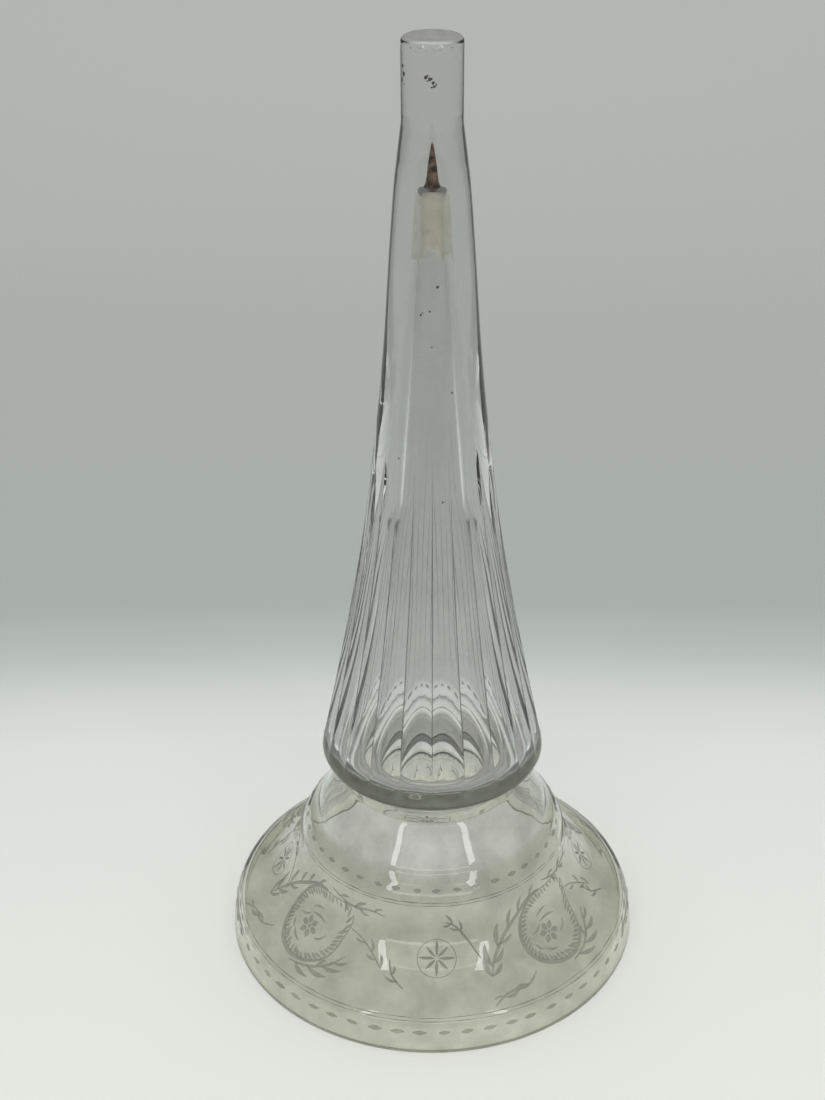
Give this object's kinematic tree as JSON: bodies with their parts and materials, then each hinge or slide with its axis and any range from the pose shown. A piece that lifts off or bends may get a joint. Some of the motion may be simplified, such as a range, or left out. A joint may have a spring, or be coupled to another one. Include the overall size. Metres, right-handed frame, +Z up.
{
  "type": "glass flower trumpet",
  "caption": "Fluted glass trumpet with a solid peg, standing mouth down on a domed, engraved glass bell that it lifts off.",
  "frame": {"origin": "centre of the ground rim that the glass stands on", "axes": "+Z up the axis of the glass, from the rim to the peg's end; X and Y lie in the rim's plane, and -Y looks at a ridge between two flutes"},
  "size_m": [0.175, 0.175, 0.3813],
  "materials": {
    "tinted_glass": "polished glass with a faint warm haze and matt engraving",
    "clear_glass": "polished, nearly colourless",
    "dark_deposit": "dry brown-black crust",
    "pale_deposit": "dry beige crust"
  },
  "bodies": {
    "bell": {"engraved_bell": "tinted_glass"},
    "trumpet": {"fluted_trumpet": "clear_glass", "bore_tip_deposit": "dark_deposit", "bore_wall_film": "pale_deposit"}
  },
  "joints": [
    {"name": "trumpet_lift", "type": "slide", "parent": "bell", "child": "trumpet", "axis": [0, 0, 1], "range_m": [0, 0.06]}
  ]
}
